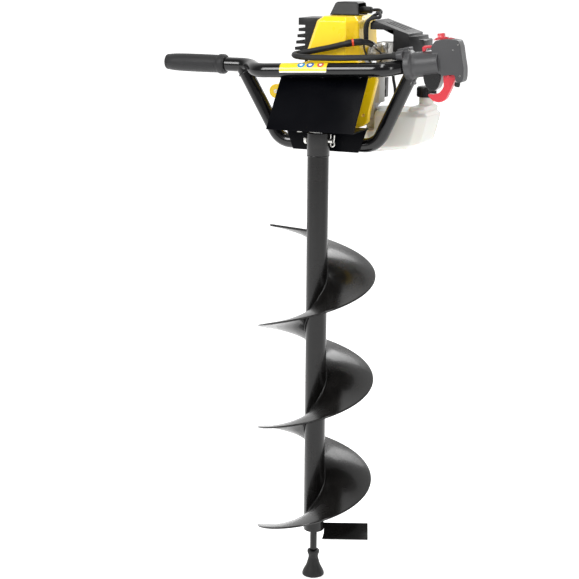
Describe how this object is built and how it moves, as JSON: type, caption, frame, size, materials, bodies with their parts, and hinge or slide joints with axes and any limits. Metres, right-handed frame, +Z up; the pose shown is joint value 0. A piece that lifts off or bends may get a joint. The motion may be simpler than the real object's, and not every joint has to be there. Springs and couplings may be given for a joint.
{
  "type": "ice fishing auger",
  "caption": "Two-handed petrol-driven ice and earth auger: tube handlebar frame, engine and gearbox over a long vertical screw with a side cutter and a rubber foot cap.",
  "frame": {"origin": "middle of the flat base of the rubber foot cap, on the auger's axis", "axes": "+Z up along the auger, +X towards the throttle hand, +Y from the guard plate towards the engine"},
  "size_m": [0.5416, 0.3078, 0.9993],
  "materials": {
    "rubber": "matt moulded rubber",
    "grip_rubber": "matt moulded grip",
    "auger_paint": "semi-gloss black enamel over steel",
    "frame_paint": "gloss black powder coat",
    "plate_paint": "satin black powder coat",
    "zinc_steel": "bright zinc",
    "machined_steel": "machined and oiled",
    "muffler_steel": "heat-dulled pressed steel",
    "cast_aluminium": "as-cast, satin",
    "yellow_plastic": "glossy moulded",
    "black_plastic": "fine-textured moulded",
    "grey_plastic": "fine-textured moulded",
    "red_plastic": "glossy moulded",
    "tank_plastic": "translucent blow-moulded",
    "filter_foam": "oiled foam"
  },
  "bodies": {
    "frame": {"output_bearing": "machined_steel", "gearbox_bottom_cover": "cast_aluminium", "gearbox_housing": "cast_aluminium", "gearbox_bolt_1": "zinc_steel", "gearbox_bolt_2": "zinc_steel", "transfer_case": "cast_aluminium", "transfer_cover": "cast_aluminium", "fan_housing": "yellow_plastic", "crankcase": "cast_aluminium", "crank_bearing_front": "machined_steel", "crank_bearing_rear": "machined_steel", "cylinder": "cast_aluminium", "piston": "cast_aluminium", "connecting_rod": "machined_steel", "spark_plug": "machined_steel", "engine_shroud": "yellow_plastic", "plug_boot": "rubber", "top_cover": "black_plastic", "muffler": "muffler_steel", "muffler_guard": "black_plastic", "carburettor": "cast_aluminium", "air_filter_cover": "black_plastic", "air_filter_base": "black_plastic", "air_filter_element": "filter_foam", "fuel_tank": "tank_plastic", "fuel_line": "rubber", "starter_housing": "black_plastic", "handlebar_tube": "frame_paint", "lower_frame_tube": "frame_paint", "left_grip": "grip_rubber", "front_guard_plate": "plate_paint", "hanger_bracket": "plate_paint", "throttle_housing_front": "grey_plastic", "throttle_housing_back": "grey_plastic", "throttle_cable": "rubber"},
    "auger": {"pilot_point": "auger_paint", "auger_tube": "auger_paint", "auger_flight": "auger_paint", "cutter_blade": "auger_paint", "auger_hub": "auger_paint", "coupling_pin": "zinc_steel", "output_shaft": "machined_steel", "bevel_wheel": "machined_steel"},
    "foot": {"foot_cap": "rubber"},
    "clip": {"hitch_clip": "zinc_steel"},
    "countershaft": {"countershaft": "machined_steel", "countershaft_gear": "machined_steel"},
    "crank": {"crankshaft": "machined_steel", "drive_pinion": "machined_steel", "clutch_drum": "machined_steel", "clutch_shoes": "machined_steel", "flywheel_fan": "cast_aluminium"},
    "trigger": {"throttle_trigger": "red_plastic"},
    "carb_lever": {"carb_throttle_lever": "zinc_steel"},
    "lock": {"lock_lever": "red_plastic"},
    "switch": {"stop_switch": "red_plastic"},
    "cap": {"fuel_cap": "black_plastic"},
    "starter_grip": {"starter_handle": "black_plastic"},
    "pulley": {"starter_pulley": "black_plastic"}
  },
  "joints": [
    {"name": "auger_spin", "type": "hinge", "parent": "frame", "child": "auger", "pos_m": [0, 0, 0.7], "axis": [0, 0, 1], "continuous": true},
    {"name": "foot_pull", "type": "slide", "parent": "auger", "child": "foot", "axis": [0, 0, -1], "range_m": [0, 0.05]},
    {"name": "clip_pull", "type": "slide", "parent": "auger", "child": "clip", "axis": [0, 0, -1], "range_m": [0, 0.03]},
    {"name": "countershaft_spin", "type": "hinge", "parent": "frame", "child": "countershaft", "pos_m": [0, 0.03, 0.81333], "axis": [0, 1, 0], "continuous": true},
    {"name": "crank_spin", "type": "hinge", "parent": "frame", "child": "crank", "pos_m": [0, 0.1, 0.85], "axis": [0, 1, 0], "continuous": true},
    {"name": "trigger_squeeze", "type": "hinge", "parent": "frame", "child": "trigger", "pos_m": [0.20901, 0.046, 0.88937], "axis": [0, 1, 0], "range_deg": [0, 14], "stiffness_Nm_per_rad": 0.3, "springref_deg": -17.19},
    {"name": "carb_lever_turn", "type": "hinge", "parent": "frame", "child": "carb_lever", "pos_m": [0.075, 0.106, 0.922], "axis": [0, 1, 0], "range_deg": [-60, 0]},
    {"name": "lock_press", "type": "hinge", "parent": "frame", "child": "lock", "pos_m": [0.18615, 0.046, 0.93276], "axis": [0, 1, 0], "range_deg": [-5, 0], "stiffness_Nm_per_rad": 0.1, "springref_deg": 17.19},
    {"name": "switch_slide", "type": "slide", "parent": "frame", "child": "switch", "axis": [0.9914, 0, 0.1305], "range_m": [0, 0.006]},
    {"name": "cap_turn", "type": "hinge", "parent": "frame", "child": "cap", "pos_m": [0.1375, 0.15, 0.85], "axis": [0, 0, 1], "continuous": true},
    {"name": "starter_pull", "type": "slide", "parent": "frame", "child": "starter_grip", "axis": [0, 1, 0], "range_m": [0, 0.022], "stiffness_N_per_m": 60, "springref_m": -0.02},
    {"name": "pulley_turn", "type": "hinge", "parent": "frame", "child": "pulley", "pos_m": [0, 0.18, 0.85], "axis": [0, 1, 0], "range_deg": [0, 60]}
  ],
  "couplings": [
    {"joint": "countershaft_spin", "follows": "auger_spin", "ratio": 4},
    {"joint": "crank_spin", "follows": "auger_spin", "ratio": -8},
    {"joint": "carb_lever_turn", "follows": "trigger_squeeze", "ratio": -4},
    {"joint": "pulley_turn", "follows": "starter_pull", "rad_per_m": 38}
  ]
}
